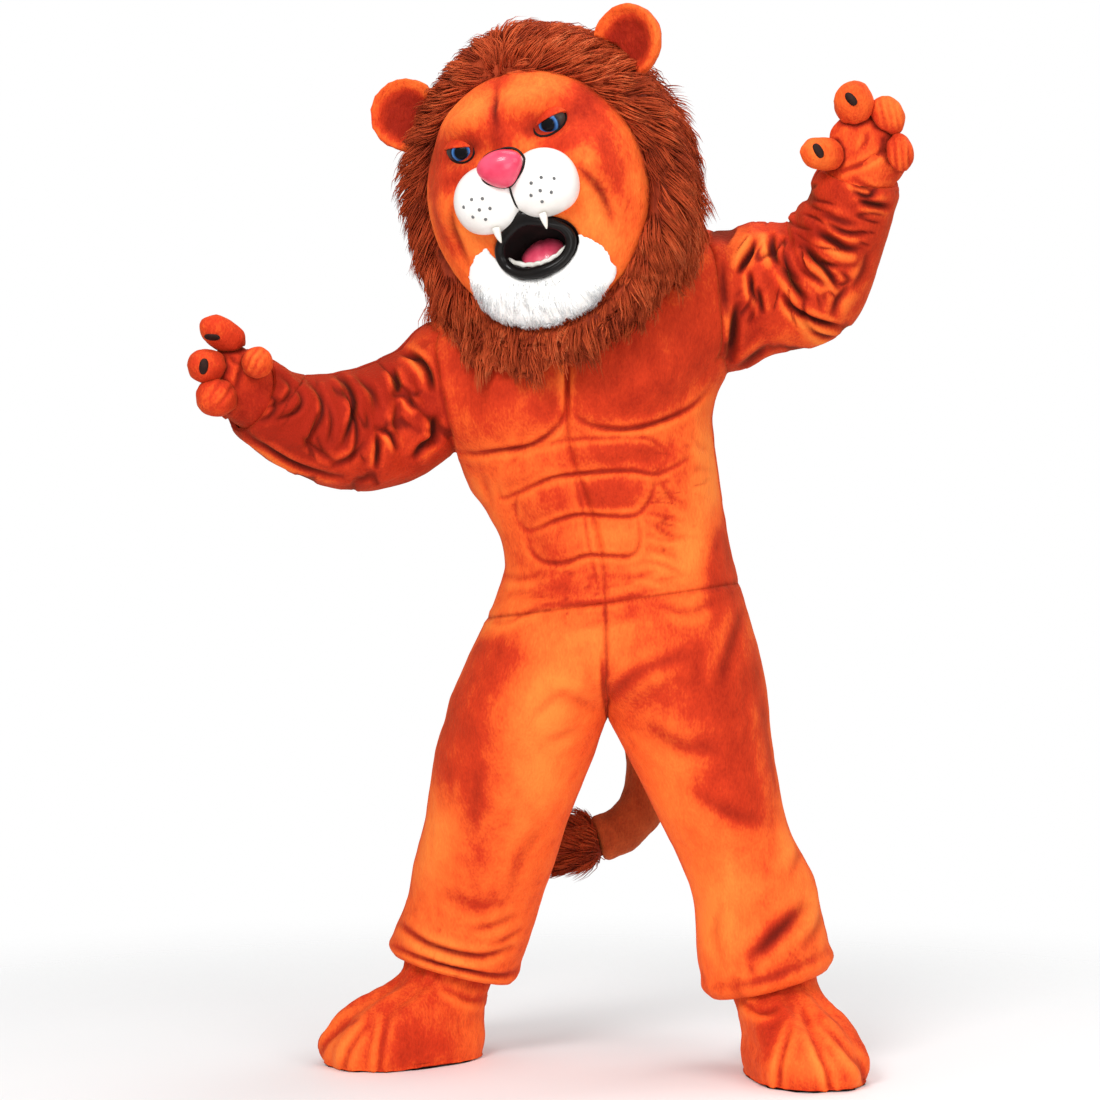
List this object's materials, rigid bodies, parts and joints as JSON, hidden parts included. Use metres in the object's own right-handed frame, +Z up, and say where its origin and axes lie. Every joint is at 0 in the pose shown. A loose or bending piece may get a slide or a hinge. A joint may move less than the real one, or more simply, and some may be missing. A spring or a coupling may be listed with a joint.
{
  "type": "lion mascot costume",
  "caption": "Hollow lion mascot costume in its worn pose: quilted muscle suit, paw mitts and boots, tail, and a head with an open mouth and a long mane.",
  "frame": {"origin": "middle of the neck, level with the wearer's shoulders, where the costume hangs on its wearer", "axes": "+X towards the wearer's left, -Y towards the front, +Z up"},
  "size_m": [1.2406, 0.781, 1.879],
  "materials": {
    "orange_plush": "short red-orange plush with a slight sheen",
    "brown_fur": "long auburn-brown pile",
    "white_plush": "white long-pile plush",
    "white_muzzle": "smooth white short-pile cloth over foam",
    "nose_pink": "glossy pink",
    "tongue_pink": "glossy pink-red",
    "black_lip": "glossy black",
    "tooth_white": "glossy white",
    "eye": "glossy",
    "claw_dark": "dark brown, smooth",
    "sole_rubber": "matt dark"
  },
  "bodies": {
    "root": {"boot_left": "orange_plush", "boot_right": "orange_plush", "chin": "white_plush", "claw_left_index": "claw_dark", "claw_left_thumb": "claw_dark", "claw_right_index": "claw_dark", "claw_right_middle": "claw_dark", "digit_left_index": "orange_plush", "digit_left_middle": "orange_plush", "digit_left_ring": "orange_plush", "digit_left_thumb": "orange_plush", "digit_right_index": "orange_plush", "digit_right_middle": "orange_plush", "digit_right_ring": "orange_plush", "digit_right_thumb": "orange_plush", "ear_left": "orange_plush", "ear_right": "orange_plush", "eye_left": "eye", "eye_right": "eye", "face": "orange_plush", "fang_left": "tooth_white", "fang_right": "tooth_white", "leg_back_left": "orange_plush", "leg_back_right": "orange_plush", "leg_front_left": "orange_plush", "leg_front_right": "orange_plush", "lips": "black_lip", "lower_teeth": "tooth_white", "mane_back_left": "brown_fur", "mane_back_right": "brown_fur", "mane_front_left": "brown_fur", "mane_front_right": "brown_fur", "mitt_left": "orange_plush", "mitt_right": "orange_plush", "mouth_lining": "black_lip", "muzzle_left": "white_muzzle", "muzzle_right": "white_muzzle", "nose": "nose_pink", "sleeve_back_left": "orange_plush", "sleeve_back_right": "orange_plush", "sleeve_front_left": "orange_plush", "sleeve_front_right": "orange_plush", "sole_left": "sole_rubber", "sole_right": "sole_rubber", "tail": "orange_plush", "tail_tuft": "brown_fur", "tongue": "tongue_pink", "top_back_left": "orange_plush", "top_back_right": "orange_plush", "top_front_left": "orange_plush", "top_front_right": "orange_plush"}
  },
  "joints": []
}
